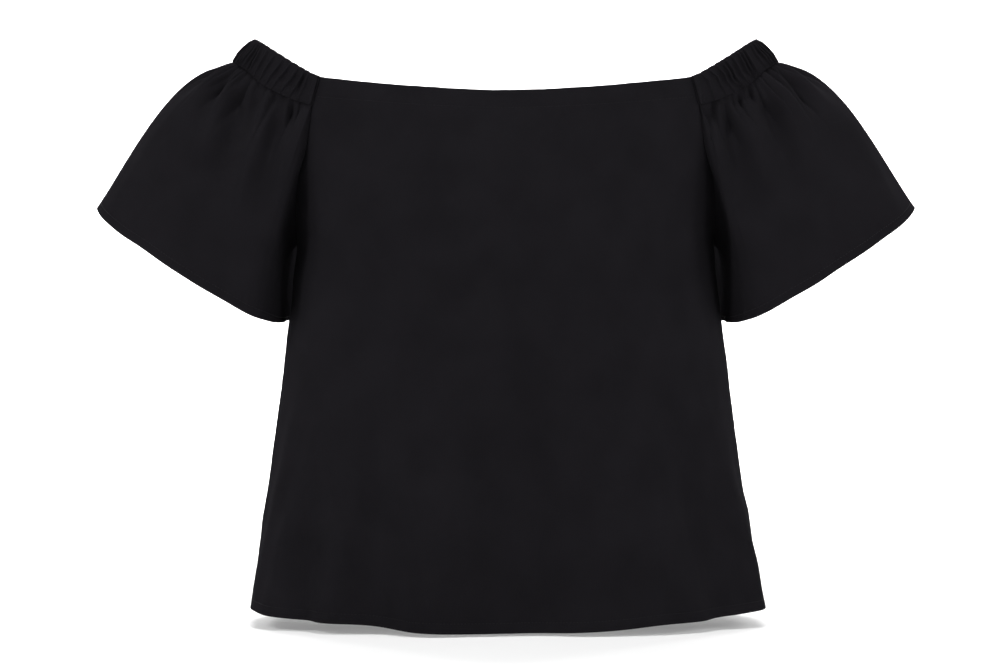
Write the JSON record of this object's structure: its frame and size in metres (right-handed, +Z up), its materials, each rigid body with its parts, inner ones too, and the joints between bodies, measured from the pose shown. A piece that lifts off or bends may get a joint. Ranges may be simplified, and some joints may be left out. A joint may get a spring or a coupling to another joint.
{
  "type": "off-shoulder blouse",
  "caption": "Hip-length blouse worn off the shoulders, with a straight neck edge, gathered elastic casings over the arms and short flared sleeves.",
  "frame": {"origin": "middle of the neck opening, at the mean height of the two elastic casings", "axes": "+Z up the wearer's body, -Y out of the front, +X to the wearer's left"},
  "size_m": [0.7188, 0.296, 0.5096],
  "materials": {
    "crepe": "matt black crepe with a faint sheen"
  },
  "bodies": {
    "root": {"front_panel": "crepe", "back_panel": "crepe", "left_casing": "crepe", "right_casing": "crepe", "left_sleeve": "crepe", "right_sleeve": "crepe"}
  },
  "joints": []
}
